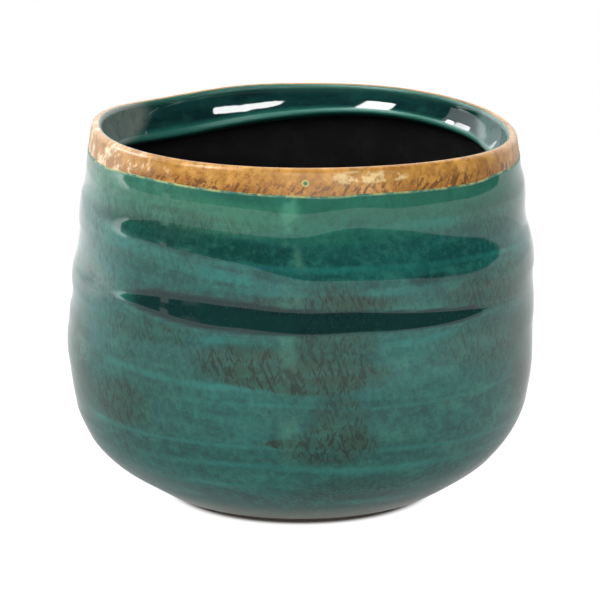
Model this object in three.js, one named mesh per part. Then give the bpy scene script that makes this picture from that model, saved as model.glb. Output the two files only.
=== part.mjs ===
// Hand-thrown plant pot: a stoneware body turned in one piece, dressed in separate coats of
// glaze, with felt pads under its foot ring.
//
// Millimetres, +Z up. The origin is on the ground, under the middle of the pot.
// The front of the pot faces -Y. A bearing is an angle round the pot in degrees,
// 0 at the front and growing towards +X.

import * as THREE from 'three';

// ---- Outside of the pot, at the face of its glaze
const bellyRadius = 100; // at the widest place
const bellyHeight = 68; // of the widest place, above the ground
const footRadius = 57; // where the body meets the foot ring
const rimRadius = 91; // of the outer face, at the lip
const rimHeight = 161; // mean height of the lip, above the ground
const bowlFullness = 3.1; // power of the curve from the foot to the belly
const shoulderFullness = 1.75; // power of the curve from the belly to the lip

// ---- Wall, lip and floor
const clayWall = 5;
const coatThickness = 0.8; // of every coat of glaze
const seatGap = 0.3; // between a coat and what it lies on or meets
const lipThickness = 4.6; // over the glaze, at the rounded top
const beadDepth = 9; // from the lip down to the bead that runs round the inside
const beadHeight = 2; // of the bead, out of the wall
const beadReach = 5; // half of the bead's width
const floorThickness = 8; // from the foot ring's land to the inside floor

// ---- Foot ring, left bare, and the felt pads under it
const footLand = 10; // width of the flat ring that the pads are stuck to
const footRecess = 3; // depth of the hollow inside the ring
const bareFoot = 2.5; // height of the bare clay, from the land to the glaze
const padRadius = 4;
const padThickness = 1.2;
const padCount = 4;
const firstPadBearing = 45;

// ---- Where one coat ends and the next begins
const bandDepth = 12; // ochre band on the outside, from the crest of the lip down
const collarDepth = 13; // teal glaze on the inside, from the crest of the lip down

// ---- Marks of the throwing: one ridge that winds up the outside
const ridgeHeight = 0.25; // out of and into the mean surface
const ridgePitch = 22.5;
const ridgeStart = 23.5; // height of the lowest ridge at the front
const ridgeFade = 12; // distance over which it dies out, at the foot and at the band

// ---- Uneven lip: the top is tilted, waved and drawn out by hand, and the base is true
const steadyHeight = 30; // below this the pot is round and level
const lipWaves = [
  { count: 1, height: 3.9, bearing: -156 },
  { count: 2, height: 1.4, bearing: -38 },
  { count: 3, height: 0.9, bearing: 45 },
];
const lipLobes = [
  { count: 1, depth: 1.1, bearing: -29 },
  { count: 2, depth: 0.7, bearing: -72 },
  { count: 3, depth: 2.1, bearing: -28 },
  { count: 4, depth: 1.9, bearing: -40 },
];

// ---- Fineness of the solids
const sides = 48;
const outsideSteps = 12;
const stepsPerRidgeCut = 3; // finer cuts on the ridged face, for each step of the wall
const bandSteps = 4;
const lipSteps = 6; // an even number, so that one point is the crest
const collarSteps = 6;
const insideSteps = 12;
const padSides = 24;

const footHeight = padThickness;
const glazeLine = footHeight + bareFoot;
const floorHeight = footHeight + floorThickness;
const lipRadius = lipThickness / 2;
const lipSpring = rimHeight - lipRadius; // height at which the lip starts to turn over
const bandLine = rimHeight - bandDepth;
const coatAndGap = coatThickness + seatGap;
const wallThickness = clayWall + 2 * coatAndGap;
const fullTurn = 2 * Math.PI;
const radians = THREE.MathUtils.degToRad;
const { clamp, lerp, smoothstep } = THREE.MathUtils;

// ---- The outside curve

function outerRadius(height) {
  if (height < bellyHeight) {
    const rise = (height - footHeight) / (bellyHeight - footHeight);
    return lerp(footRadius, bellyRadius, 1 - (1 - rise) ** bowlFullness);
  }
  const rise = (height - bellyHeight) / (rimHeight - bellyHeight);
  return lerp(bellyRadius, rimRadius, rise ** shoulderFullness);
}

function outerPoint(height) {
  return new THREE.Vector2(outerRadius(height), height);
}

function outerNormal(height) {
  const reach = 0.5;
  const rise = outerPoint(height + reach).sub(outerPoint(Math.max(height - reach, footHeight)));
  return new THREE.Vector2(rise.y, -rise.x).normalize();
}

// Heights from one level to another, evenly spaced along the curve between them
function evenHeights(from, to, steps) {
  const fine = steps * 12;
  const heights = Array.from({ length: fine + 1 }, (_, i) => lerp(from, to, i / fine));
  const along = [0];
  for (let i = 1; i <= fine; i += 1) {
    const chord = outerPoint(heights[i]).distanceTo(outerPoint(heights[i - 1]));
    along.push(along[i - 1] + chord);
  }
  return Array.from({ length: steps + 1 }, (_, step) => {
    const target = (along[fine] * step) / steps;
    const next = Math.max(1, along.findIndex((length) => length >= target - 1e-9));
    const share = (target - along[next - 1]) / (along[next] - along[next - 1]);
    return lerp(heights[next - 1], heights[next], clamp(share, 0, 1));
  });
}

// ---- The skin: the face of the glaze in section, from the glaze line up the outside,
// over the lip, down the inside and along the floor to the middle

function wallAt(depth) {
  const settled = smoothstep(depth, 0, collarDepth);
  const bead = 0.5 + 0.5 * Math.cos(Math.PI * clamp((depth - beadDepth) / beadReach, -1, 1));
  return lerp(lipThickness, wallThickness, settled) + beadHeight * bead;
}

function innerPoint(height) {
  const depth = lipSpring - height;
  return outerPoint(height).addScaledVector(outerNormal(height), -wallAt(depth));
}

function lipArc() {
  const outwards = outerNormal(lipSpring);
  const centre = outerPoint(lipSpring).addScaledVector(outwards, -lipRadius);
  const start = outwards.angle();
  const arc = [];
  for (let step = 1; step < lipSteps; step += 1) {
    const turn = lerp(start, start + Math.PI, step / lipSteps);
    arc.push(new THREE.Vector2(Math.cos(turn), Math.sin(turn)).multiplyScalar(lipRadius).add(centre));
  }
  return arc;
}

function cornerWithFloor() {
  let low = footHeight;
  let high = bellyHeight;
  for (let halving = 0; halving < 40; halving += 1) {
    const middle = (low + high) / 2;
    if (innerPoint(middle).y < floorHeight) low = middle;
    else high = middle;
  }
  return high;
}

const collarLine = lipSpring - collarDepth;
const outside = evenHeights(glazeLine, bandLine, outsideSteps);
const band = evenHeights(bandLine, lipSpring, bandSteps).slice(1);
const collar = evenHeights(lipSpring, collarLine, collarSteps);
const inside = evenHeights(collarLine, cornerWithFloor(), insideSteps).slice(1);
const skin = [
  ...outside.map(outerPoint),
  ...band.map(outerPoint),
  ...lipArc(),
  ...collar.map(innerPoint),
  ...inside.map(innerPoint),
  new THREE.Vector2(0, floorHeight),
];
const bandStart = outside.length - 1;
const crest = bandStart + band.length + lipSteps / 2;
const collarEnd = crest + lipSteps / 2 + collarSteps;
const floorMiddle = skin.length - 1;

// The skin moved into the wall by a depth, keeping its facets parallel to themselves
function inset(index, depth) {
  const here = skin[index];
  if (index === floorMiddle) return new THREE.Vector2(0, here.y - depth);
  const facets = [];
  if (index > 0) facets.push(here.clone().sub(skin[index - 1]));
  facets.push(skin[index + 1].clone().sub(here));
  const normals = facets.map((facet) => new THREE.Vector2(facet.y, -facet.x).normalize());
  const outwards = normals.reduce((sum, normal) => sum.add(normal), new THREE.Vector2()).normalize();
  return here.clone().addScaledVector(outwards, -depth / outwards.dot(normals[0]));
}

// One end of a coat, drawn back along the skin so that it stays clear of the coat it meets
function drawnBack(index, towards, depth) {
  const end = inset(index, depth);
  const away = inset(index + towards, depth).sub(end).normalize();
  return end.addScaledVector(away, seatGap / 2);
}

function coatFace(first, last, depth) {
  const face = [first === 0 ? inset(first, depth) : drawnBack(first, 1, depth)];
  for (let index = first + 1; index < last; index += 1) face.push(inset(index, depth));
  face.push(last === floorMiddle ? inset(last, depth) : drawnBack(last, -1, depth));
  return face;
}

// ---- Shaping by hand

function waveSum(waves, size, bearing) {
  return waves.reduce((sum, wave) => {
    return sum + wave[size] * Math.cos(wave.count * (bearing - radians(wave.bearing)));
  }, 0);
}

function ridge(bearing, height) {
  const turns = (height - ridgeStart) / ridgePitch + bearing / fullTurn;
  const foot = smoothstep(height, glazeLine, glazeLine + ridgeFade);
  const top = 1 - smoothstep(height, bandLine - ridgeFade, bandLine);
  return ridgeHeight * foot * top * Math.cos(fullTurn * turns);
}

function shapedPoint(point, bearing, ridged) {
  const loose = smoothstep(point.y, steadyHeight, rimHeight);
  const relief = ridged ? ridge(bearing, point.y) : 0;
  const radius = point.x + relief + loose * waveSum(lipLobes, 'depth', bearing);
  const height = point.y + loose * waveSum(lipWaves, 'height', bearing);
  const spread = point.x > 0 ? radius : 0;
  return [spread * Math.sin(bearing), -spread * Math.cos(bearing), height];
}

// A section outline turned round the pot's axis and then shaped. The outline runs up the
// outside of the piece; its first points, as many as are ridged, carry the throwing ridge.
function turned(name, material, outline, ridgedCount = 0) {
  const geometry = new THREE.LatheGeometry(outline, sides);
  const positions = geometry.getAttribute('position');
  for (let side = 0; side <= sides; side += 1) {
    const bearing = ((side % sides) * fullTurn) / sides;
    outline.forEach((point, index) => {
      const ridged = index < ridgedCount || (ridgedCount > 0 && index === outline.length - 1);
      positions.setXYZ(side * outline.length + index, ...shapedPoint(point, bearing, ridged));
    });
  }
  geometry.computeVertexNormals();
  const mesh = new THREE.Mesh(geometry, material);
  mesh.name = name;
  return mesh;
}

function closed(outline) {
  return [...outline, outline[0].clone()];
}

// ---- The pieces

// Stoneware body: the skin less its coats, closed by a bare foot ring round a hollow
function clayBody(material) {
  const faced = skin.map((_, index) => inset(index, coatAndGap));
  const footEdge = footRadius - coatAndGap;
  const hollowRadius = footEdge - footLand;
  const hollowHeight = footHeight + footRecess;
  const outline = [
    new THREE.Vector2(0, hollowHeight),
    new THREE.Vector2(hollowRadius - footRecess, hollowHeight),
    new THREE.Vector2(hollowRadius, footHeight),
    new THREE.Vector2(footEdge, footHeight),
    ...faced,
  ];
  return turned('clay_body', material, outline);
}

// Teal glaze outside, from above the bare foot to the band
function outerGlaze(material) {
  const ridgedFace = evenHeights(glazeLine, bandLine - seatGap / 2, outsideSteps * stepsPerRidgeCut);
  const face = ridgedFace.map(outerPoint);
  const back = coatFace(0, bandStart, coatThickness).reverse();
  return turned('outer_glaze', material, closed([...face, ...back]), face.length);
}

// Ochre glaze: a band outside, up to the crest of the lip
function rimBand(material) {
  const face = coatFace(bandStart, crest, 0);
  const back = coatFace(bandStart, crest, coatThickness).reverse();
  return turned('rim_band', material, closed([...face, ...back]));
}

// Teal glaze from the crest of the lip down the inside, over the bead
function collarGlaze(material) {
  const face = coatFace(crest, collarEnd, 0);
  const back = coatFace(crest, collarEnd, coatThickness).reverse();
  return turned('collar_glaze', material, closed([...face, ...back]));
}

// Black sealing coat on the rest of the inside and its floor
function innerSealer(material) {
  const face = coatFace(collarEnd, floorMiddle, 0);
  const back = coatFace(collarEnd, floorMiddle, coatThickness).reverse();
  return turned('inner_sealer', material, [...back, ...face]);
}

// Felt pads, stuck to the middle of the foot ring's land
function feltPads(material) {
  const landRadius = footRadius - coatAndGap - footLand / 2;
  return Array.from({ length: padCount }, (_, index) => {
    const geometry = new THREE.CylinderGeometry(padRadius, padRadius, padThickness, padSides);
    const bearing = radians(firstPadBearing) + (index * fullTurn) / padCount;
    const pad = new THREE.Mesh(geometry, material);
    pad.name = `felt_pad_${index + 1}`;
    pad.rotation.x = Math.PI / 2;
    pad.position.set(
      landRadius * Math.sin(bearing),
      -landRadius * Math.cos(bearing),
      padThickness / 2,
    );
    return pad;
  });
}

const stoneware = new THREE.MeshStandardMaterial({ color: 0x9a8a74, roughness: 0.85, metalness: 0 });
const tealGlaze = new THREE.MeshStandardMaterial({ color: 0x2f6a66, roughness: 0.12, metalness: 0 });
const ochreGlaze = new THREE.MeshStandardMaterial({ color: 0xc8a069, roughness: 0.3, metalness: 0 });
const blackSealer = new THREE.MeshStandardMaterial({ color: 0x121212, roughness: 0.6, metalness: 0 });
const felt = new THREE.MeshStandardMaterial({ color: 0x2b2a28, roughness: 1, metalness: 0 });

const pot = new THREE.Group();
pot.add(
  clayBody(stoneware),
  outerGlaze(tealGlaze),
  rimBand(ochreGlaze),
  collarGlaze(tealGlaze),
  innerSealer(blackSealer),
  ...feltPads(felt),
);

export default pot;
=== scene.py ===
"""A hand-thrown stoneware plant pot: teal glaze outside, an ochre band over its uneven lip,
a dark inside, a bare clay foot and felt pads. Metres, +Z up, the front of the pot faces -Y.
A bearing is an angle round the pot, 0 at the front and growing towards +X."""

import functools
import math

import bpy
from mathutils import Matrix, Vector


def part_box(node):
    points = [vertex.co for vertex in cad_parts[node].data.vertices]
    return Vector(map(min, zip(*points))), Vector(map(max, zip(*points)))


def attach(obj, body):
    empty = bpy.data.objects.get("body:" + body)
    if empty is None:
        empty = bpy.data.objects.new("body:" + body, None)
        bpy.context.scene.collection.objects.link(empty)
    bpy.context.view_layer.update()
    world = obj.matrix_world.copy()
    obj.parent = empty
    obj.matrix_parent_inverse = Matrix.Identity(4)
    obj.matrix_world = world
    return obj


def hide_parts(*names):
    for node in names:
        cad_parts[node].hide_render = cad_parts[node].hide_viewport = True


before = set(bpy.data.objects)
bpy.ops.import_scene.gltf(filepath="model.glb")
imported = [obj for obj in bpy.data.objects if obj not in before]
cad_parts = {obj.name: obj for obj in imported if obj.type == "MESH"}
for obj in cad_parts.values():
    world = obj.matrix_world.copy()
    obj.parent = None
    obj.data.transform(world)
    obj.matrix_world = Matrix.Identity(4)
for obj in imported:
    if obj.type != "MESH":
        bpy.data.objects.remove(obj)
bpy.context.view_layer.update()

MM = 0.001

# ---- The outside of the pot, as the solid parts have it
BELLY_RADIUS = 100 * MM
BELLY_HEIGHT = 68 * MM
FOOT_RADIUS = 57 * MM
RIM_RADIUS = 91 * MM
RIM_HEIGHT = 161 * MM
BOWL_FULLNESS = 3.1
SHOULDER_FULLNESS = 1.75

# ---- Wall, lip and coats
COAT = 0.8 * MM
CLAY_DEPTH = 1.0 * MM
CLAY_WALL = 5 * MM
COAT_AND_GAP = 1.1 * MM
LIP_THICKNESS = 4.6 * MM
BEAD_DEPTH = 10 * MM
BEAD_END = 14 * MM
BEAD_SLOPE = 0.295
BEAD_CURVE = 0.0262 / MM
BAND_DEPTH = 12 * MM
LIP_SHARE = 0.62
COLLAR_DEPTH = 13 * MM
FOOT_LAND = 10 * MM
FOOT_RECESS = 3 * MM

# ---- Levels that the solid parts give
FOOT_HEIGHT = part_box("felt_pad_1")[1][2]
GLAZE_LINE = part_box("outer_glaze")[0][2]
FLOOR_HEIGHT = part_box("inner_sealer")[0][2] + COAT
LIP_SPRING = RIM_HEIGHT - LIP_THICKNESS / 2
BAND_LINE = RIM_HEIGHT - BAND_DEPTH
WALL = CLAY_WALL + 2 * COAT_AND_GAP

# ---- Uneven lip: waves of its height and lobes of its width, each as (count, size, bearing)
STEADY_HEIGHT = 30 * MM
LIP_WAVES = ((1, 3.9 * MM, -156), (2, 1.4 * MM, -38), (3, 0.9 * MM, 45))
LIP_LOBES = ((1, 1.1 * MM, -29), (2, 0.7 * MM, -72), (3, 2.1 * MM, -28), (4, 1.9 * MM, -40))

# Small dips and rises of the lip, and sags of the bead inside it, as (bearing, size, narrowness)
LIP_DENTS = ((-163, 0.9 * MM, 24), (-136, -0.8 * MM, 24))
BEAD_SAGS = ((-138, -4.0 * MM, 6), (152, 1.8 * MM, 6))

# Where the inside flares out to the lip, because the bead reaches further in, likewise
FLARES = ((78, 2.2 * MM, 4), (-78, 2.8 * MM, 4))

# ---- Throwing rings: how far the wall swells at a height, as (height, swell) in millimetres,
# at the front, the left and the right. They lean down a little to the right.
SWELL_FRONT = (
    (0, 0), (10, 0.05), (16, -0.12), (26, 0.12), (36, -0.15), (47, 0.15),
    (58, -0.15), (70, 0.18), (80, 0.15), (88, 0), (100, 0), (170, 0),
)
SWELL_LEFT = (
    (0, -2.4), (4, -2.2), (9, -0.8), (15, 1.3), (22, 1.2), (30, 0.3),
    (37, 0.1), (43, -0.35), (53, 0), (59, 0.7), (67, 1.25), (75, 0.75),
    (80, 0.65), (85.5, -0.15), (91, 0.45), (95.5, 0.8), (101, 0.15), (111, -0.65),
    (119, 0.3), (127, 0.6), (135, -0.25), (141, 0.15), (150, 0.3), (170, 0.3),
)
SWELL_RIGHT = (
    (0, 0.6), (8, 0.9), (13, 1.8), (19, 1.4), (26, 0.3), (32, 0.2),
    (45, 0.05), (49, -0.15), (62, 0.25), (78, 0.2), (84, 0.75), (92, 0.95),
    (99, 0.8), (105, 1.3), (110.5, 1.9), (118, 1.4), (123, 0.55), (128, -0.1),
    (134, 0.3), (140.5, 0.95), (147, 0.2), (152, 0.3), (170, 0.3),
)
RING_LEAN = 2.3 * MM

# The height at which these lines end, and the most that they can say
SWELL_REACH = 170 * MM
MOST_SWELL = 2.5 * MM

# Where the left and the right take over from the front, as sines of the bearing
LEFT_TAKES_OVER = (-0.75, -1)
RIGHT_TAKES_OVER = (0.86, 1)

# The upper rings have a shoulder each, where the wall leans in: the heights in millimetres of
# its lower and its upper edge at the bearings, its lean, and how much glaze has pooled on it;
# that dark glaze is partly painted reflection of the dark room in front.
# The lean is more at some bearings than at others.
RING_BEARINGS = (-90, -47, -37, -26, -14, 0, 13, 26, 39, 52, 90)
SHOULDERS = (
    (
        (147, 146.5, 144, 142, 141.5, 141, 143, 141, 140, 138, 138),
        (166, 166, 166, 166, 166, 166, 166, 166, 166, 166, 166),
        0.11,
        0.0,
    ),
    (
        (125, 125.5, 124, 121, 118, 113, 112.3, 111, 106, 103, 104),
        (133, 133.5, 135.8, 135.6, 132.7, 130, 132, 131, 129, 130, 128),
        0.12,
        0.3,
    ),
    (
        (99, 99, 96, 92.5, 91, 90.2, 91, 90.5, 90.7, 93, 93),
        (104, 104, 106.5, 106.5, 104.8, 101.7, 100.5, 99, 97.8, 96.5, 96),
        0.15,
        1.0,
    ),
)
LEAN_SHARES = (1.8, 1.5, 1.55, 1.65, 1.3, 1.0, 1.0, 1.1, 1.3, 1.6, 1.8)
MOST_LEAN = 2.0
LEAN_STARTS = 0.16
LEAN_ENDS = 0.10
LEAST_SHOULDER = 0.8 * MM
SHOULDERS_FROM = 85 * MM

# Glaze pools over these shares of the lean, and only at the front, between these sines of the
# bearing; each pair is where it starts or ends and where it is full. At the front this dark is
# partly painted reflection of the dark room.
POOL_AND_REFLECTION_STARTS = (0.045, 0.12)
POOL_AND_REFLECTION_ENDS = (0.995, 0.96)
POOL_AND_REFLECTION_FROM = (-0.72, -0.62)
POOL_AND_REFLECTION_TO = (0.8, 0.7)

# How far the band's lower edge lies above its mean line, in millimetres, at the bearings, and
# over what height round it the glaze is shifted with it
EDGE_BEARINGS = (-90, -57, -40, -30, -20, -10, 0, 8, 16, 30, 45, 52, 60, 90)
EDGE_RISES = (1.0, 1.3, 2.3, 2.0, 1.5, 1.0, 0.6, 0.3, 0.9, 0.8, 0.8, 1.4, 2.4, 2.5)
MOST_EDGE_RISE = 4
EDGE_REACH = 20 * MM
WALL_TAPER = 0.15

# How far below the rim the dents reach, and how far below the lip the bead's sags and flares do
DENT_REACH = 26 * MM
SAG_REACH = 45 * MM

# Marks of the hand all over the wall: how far they move it, and their scale
HAND_MARKS = 0.25 * MM
HAND_MARK_SCALE = 26

# ---- Fineness
SIDES = 288
STEP = 1.1 * MM
HIDDEN_STEP = 3.5 * MM
EDGE_ROWS = (0.08, 0.3, 0.6, 1.0)
CLAY_SIDES = 192
JOIN_DISTANCE = 0.005 * MM

# ---- Felt pads: their section from the middle of the underside to the middle of the top, as
# shares of the radius and of the thickness
PAD_SIDES = 48
PAD_SPREADS = (0, 0.92, 1, 1, 1, 1, 0.92, 0)
PAD_LEVELS = (0, 0, 0.12, 0.4, 0.6, 0.88, 1, 1)

# ---- Glazes: heights on them in millimetres, and their refractive index
BAND_MARK = BAND_LINE / MM
RIM_MARK = RIM_HEIGHT / MM
BEAD_MARK = (LIP_SPRING - BEAD_DEPTH) / MM
GLAZE_IOR = 1.51

# ---- Camera, as fitted to the photograph
CAMERA_DISTANCE = 1.1
CAMERA_ELEVATION = math.radians(12.99)
AIM = Vector((-0.0002, 0, 0.083))
PIXELS_PER_METRE = 2311
IMAGE_WIDTH = 600

# ---- The round table that the pot stands on: its brightness as the camera sees it, then as
# The round table that the pot stands on: its brightness as the camera sees it, then as
# the gloss mirrors it: by the foot, and what it gains between distances from the pot's axis.
# The lower brightness by the foot is a painted shadow that the gloss mirrors
TABLE_RADIUS = 0.95
TABLE_SIDES = 96
FLOOR_SEEN = 1.07
FLOOR_MIRRORED = 0.33
FLOOR_GAINS = ((0.1, 0.6, 0.45), (0.055, 0.17, 0.27))

# The paper shows the pot's shadow by the foot, and turns to plain white, by the share, between
# these distances from the axis
SHADOW_EDGE = (0.054, 0.0595)
LIT_SHARE = 0.95


# ======== Building node trees ========


class Nodes:
    """Adds nodes to one tree and joins each to the values it is given."""

    def __init__(self, tree):
        self.tree = tree

    def add(self, kind, values=None, **settings):
        node = self.tree.nodes.new(kind)
        for name, setting in settings.items():
            setattr(node, name, setting)
        for name, value in (values or {}).items():
            self.put(node.inputs[name], value)
        return node

    def put(self, socket, value):
        if isinstance(value, bpy.types.Node):
            value = value.outputs[0]
        if isinstance(value, bpy.types.NodeSocket):
            self.tree.links.new(value, socket)
        else:
            socket.default_value = value

    def math(self, operation, *values):
        values = dict(enumerate(values))
        return self.add("ShaderNodeMath", values, operation=operation).outputs[0]

    def vector(self, operation, *values):
        values = dict(enumerate(values))
        return self.add("ShaderNodeVectorMath", values, operation=operation).outputs[0]

    def scaled(self, vector, size):
        values = {"Vector": vector, "Scale": size}
        return self.add("ShaderNodeVectorMath", values, operation="SCALE").outputs[0]

    def times(self, *values):
        return functools.reduce(functools.partial(self.math, "MULTIPLY"), values)

    def plus(self, *values):
        return functools.reduce(functools.partial(self.math, "ADD"), values)

    def minus(self, value, less):
        return self.math("SUBTRACT", value, less)

    def combine(self, x, y, z):
        return self.add("ShaderNodeCombineXYZ", {"X": x, "Y": y, "Z": z}).outputs[0]

    def separate(self, value):
        return self.add("ShaderNodeSeparateXYZ", {"Vector": value}).outputs

    def rise(self, value, low, high, smooth=True):
        """0 below low, 1 above high; with low above high it falls instead."""
        kind = "SMOOTHSTEP" if smooth else "LINEAR"
        values = {"Value": value, "From Min": low, "From Max": high}
        return self.add("ShaderNodeMapRange", values, interpolation_type=kind).outputs[0]

    def noise(self, vector, scale, detail=2.0, roughness=0.5, distortion=0.0):
        values = {"Vector": vector, "Scale": scale, "Detail": detail}
        values |= {"Roughness": roughness, "Distortion": distortion}
        return self.add("ShaderNodeTexNoise", values).outputs[0]

    def curve(self, value, points):
        """A smooth line through points that are given in order from 0 to 1."""
        node = self.add("ShaderNodeFloatCurve", {"Value": value})
        line = node.mapping.curves[0].points
        line[0].location, line[1].location = points[0], points[-1]
        for x, y in points[1:-1]:
            line.new(x, y)
        node.mapping.update()
        return node.outputs[0]

    def mix(self, share, under, over):
        node = self.add("ShaderNodeMix", data_type="RGBA")
        for index, value in ((0, share), (6, under), (7, over)):
            self.put(node.inputs[index], value)
        return node.outputs[2]


def colour(red, green, blue):
    """A colour as written on a screen, 0 to 255, in Blender's linear values."""

    def linear(value):
        value /= 255
        return value / 12.92 if value <= 0.04045 else ((value + 0.055) / 1.055) ** 2.4

    return (linear(red), linear(green), linear(blue), 1)


def grey(value):
    return (value, value, value, 1)


def empty_material(name):
    material = bpy.data.materials.new(name)
    material.use_nodes = True
    material.node_tree.nodes.clear()
    return material, Nodes(material.node_tree)


def tinted(nodes, tone, share, strength, tint):
    """The tone with a colour laid over it by the share, at most as strongly as given."""
    return nodes.mix(nodes.times(share, strength), tone, colour(*tint))


def layered(nodes, tone, *layers):
    """The tone with colours over it where a pattern rises, each as (pattern, low, high,
    strength, colour)."""
    for pattern, low, high, strength, tint in layers:
        tone = tinted(nodes, tone, nodes.rise(pattern, low, high), strength, tint)
    return tone


# ======== The section of the wall ========


def lerp(low, high, share):
    return low + (high - low) * share


def smooth(value, low, high):
    share = min(1, max(0, (value - low) / (high - low)))
    return share * share * (3 - 2 * share)


def outer_radius(height):
    if height < BELLY_HEIGHT:
        rise = (height - FOOT_HEIGHT) / (BELLY_HEIGHT - FOOT_HEIGHT)
        return lerp(FOOT_RADIUS, BELLY_RADIUS, 1 - (1 - rise) ** BOWL_FULLNESS)
    rise = (height - BELLY_HEIGHT) / (RIM_HEIGHT - BELLY_HEIGHT)
    return lerp(BELLY_RADIUS, RIM_RADIUS, rise**SHOULDER_FULLNESS)


def outer_point(height):
    return Vector((outer_radius(height), height))


def outer_normal(height):
    reach = 0.5 * MM
    along = outer_point(height + reach) - outer_point(max(height - reach, FOOT_HEIGHT))
    return Vector((along.y, -along.x)).normalized()


def wall_at(depth):
    """The wall thickens from the lip down to the crest of the bead, which is rather sharp."""
    above = min(max(depth, 0), BEAD_DEPTH)
    bead = above * BEAD_SLOPE + above**2 * BEAD_CURVE
    return LIP_THICKNESS + lerp(bead, WALL - LIP_THICKNESS, smooth(depth, BEAD_DEPTH, BEAD_END))


def inner_point(height):
    return outer_point(height) - outer_normal(height) * wall_at(LIP_SPRING - height)


def is_inside(point):
    """1 on the inner half of the wall near the lip, 0 on its outer half."""
    if not FLOOR_HEIGHT + 20 * MM < point.y < LIP_SPRING:
        return 0.0
    return float(outer_radius(point.y) - point.x > LIP_THICKNESS * 0.6)


def length_of(points):
    return sum((after - before).length for before, after in zip(points, points[1:]))


def steps(length, step):
    """Distances about a step apart that end at the length."""
    count = max(2, round(length / step))
    return [length * index / count for index in range(count + 1)]


def at_distances(points, distances):
    """The points of the line that lie at the growing distances along it."""
    spaced = []
    place = 0
    passed = 0
    for target in distances:
        while place < len(points) - 2 and passed + (points[place + 1] - points[place]).length < target:
            passed += (points[place + 1] - points[place]).length
            place += 1
        share = (target - passed) / (points[place + 1] - points[place]).length
        spaced.append(points[place].lerp(points[place + 1], min(1, share)))
    return spaced


def evenly(points, step):
    """The same line with its points a step apart, its two ends kept."""
    return at_distances(points, steps(length_of(points), step))


def heights(low, high, count=400):
    return [lerp(low, high, index / count) for index in range(count + 1)]


def outside_line(low, high):
    return [outer_point(height) for height in heights(low, high)]


def inside_line(high, low):
    return [inner_point(height) for height in heights(high, low)]


def lip_line(first=0.0, last=1.0):
    """The lip's round top, from the outer face (0) over to the inner face (1)."""
    outwards = outer_normal(LIP_SPRING)
    radius = LIP_THICKNESS / 2
    centre = outer_point(LIP_SPRING) - outwards * radius
    start = math.atan2(outwards.y, outwards.x)
    turns = [start + math.pi * lerp(first, last, index / 40) for index in range(1, 40)]
    return [centre + Vector((math.cos(turn), math.sin(turn))) * radius for turn in turns]


def inset(line, depths):
    """The line moved to its left, into the wall, by a depth at each point."""
    moved = []
    for index, point in enumerate(line):
        along = line[min(index + 1, len(line) - 1)] - line[max(index - 1, 0)]
        outwards = Vector((along.y, -along.x)).normalized()
        moved.append(point - outwards * depths[index])
    return moved


def coat_section(line, sunk=0.0, start_round=0.5 * MM, end_round=0.5 * MM):
    """The closed outline of a coat whose face follows the line: its edges are rounded,
    and its face lies a little deeper than the line where it is sunk."""
    length = length_of(line)
    distances = [far for far in steps(length, STEP) if start_round < far < length - end_round]
    distances += [start_round * share for share in EDGE_ROWS]
    distances += [length - end_round * share for share in EDGE_ROWS]
    distances = sorted(set(distances) | {0, length})
    face = at_distances(line, distances)
    depths = []
    for from_start in distances:
        depth = sunk
        for distance, edge in ((from_start, start_round), (length - from_start, end_round)):
            if edge and distance < edge:
                depth += edge - math.sqrt(edge**2 - (edge - distance) ** 2)
        depths.append(depth)
    back = evenly(line, HIDDEN_STEP)
    return inset(face, depths), inset(back, [COAT] * len(back))[::-1]


# ======== Turned pieces ========


def bumps_round(nodes, bearing, bumps):
    """Small bumps round the pot, each as (bearing, size, narrowness), added up."""
    parts = []
    for centre, size, narrowness in bumps:
        turned = nodes.math("COSINE", nodes.minus(bearing, math.radians(centre)))
        shape = nodes.math("POWER", nodes.math("MAXIMUM", turned, 0), narrowness)
        parts.append(nodes.times(shape, size))
    return nodes.plus(*parts)


def lip_wave_sum(nodes, inputs, bearing, waves, word):
    parts = []
    for count, _, _ in waves:
        turned = nodes.minus(bearing, inputs[f"{word} {count} bearing"])
        wave = nodes.math("COSINE", nodes.times(turned, count))
        parts.append(nodes.times(wave, inputs[f"{word} {count} size"]))
    return nodes.plus(*parts)


def along_bearings(nodes, across, bearings, values, most):
    """A value that changes round the front, from those at the bearings. None is above the
    most, and across is the sine of the bearing."""
    places = [0.5 + 0.5 * math.sin(math.radians(bearing)) for bearing in bearings]
    points = [(place, value / most) for place, value in zip(places, values)]
    place = nodes.math("MULTIPLY_ADD", across, 0.5, 0.5)
    return nodes.times(nodes.curve(place, points), most)


def shoulders(nodes, height, across):
    """The rings' shoulders: how far each moves the wall, and how much glaze has pooled there, which is
    partly painted dark reflection.
    """
    recovered = nodes.rise(height, SHOULDERS_FROM, RIM_HEIGHT, smooth=False)
    moves, pools_and_reflections = [], []
    sideways = along_bearings(nodes, across, RING_BEARINGS, LEAN_SHARES, MOST_LEAN)
    for lower, upper, lean, pool_and_reflection in SHOULDERS:
        low, high = (
            nodes.times(along_bearings(nodes, across, RING_BEARINGS, line, SWELL_REACH / MM), MM)
            for line in (lower, upper)
        )
        width = nodes.math("MAXIMUM", nodes.minus(high, low), LEAST_SHOULDER)
        start = nodes.minus(low, nodes.times(width, LEAN_STARTS))
        end = nodes.plus(high, nodes.times(width, LEAN_ENDS))
        share = nodes.rise(height, start, end)
        moves.append(nodes.times(width, lean, sideways, nodes.minus(recovered, share)))
        # pooled glaze, whose dark at the front also paints the reflection in the streaks
        pools_and_reflections.append(nodes.times(nodes.rise(share, *POOL_AND_REFLECTION_STARTS), nodes.rise(share, *POOL_AND_REFLECTION_ENDS), pool_and_reflection))
    at_front = nodes.times(nodes.rise(across, *POOL_AND_REFLECTION_FROM), nodes.rise(across, *POOL_AND_REFLECTION_TO))
    return nodes.plus(*moves), nodes.times(nodes.plus(*pools_and_reflections), at_front)


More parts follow.
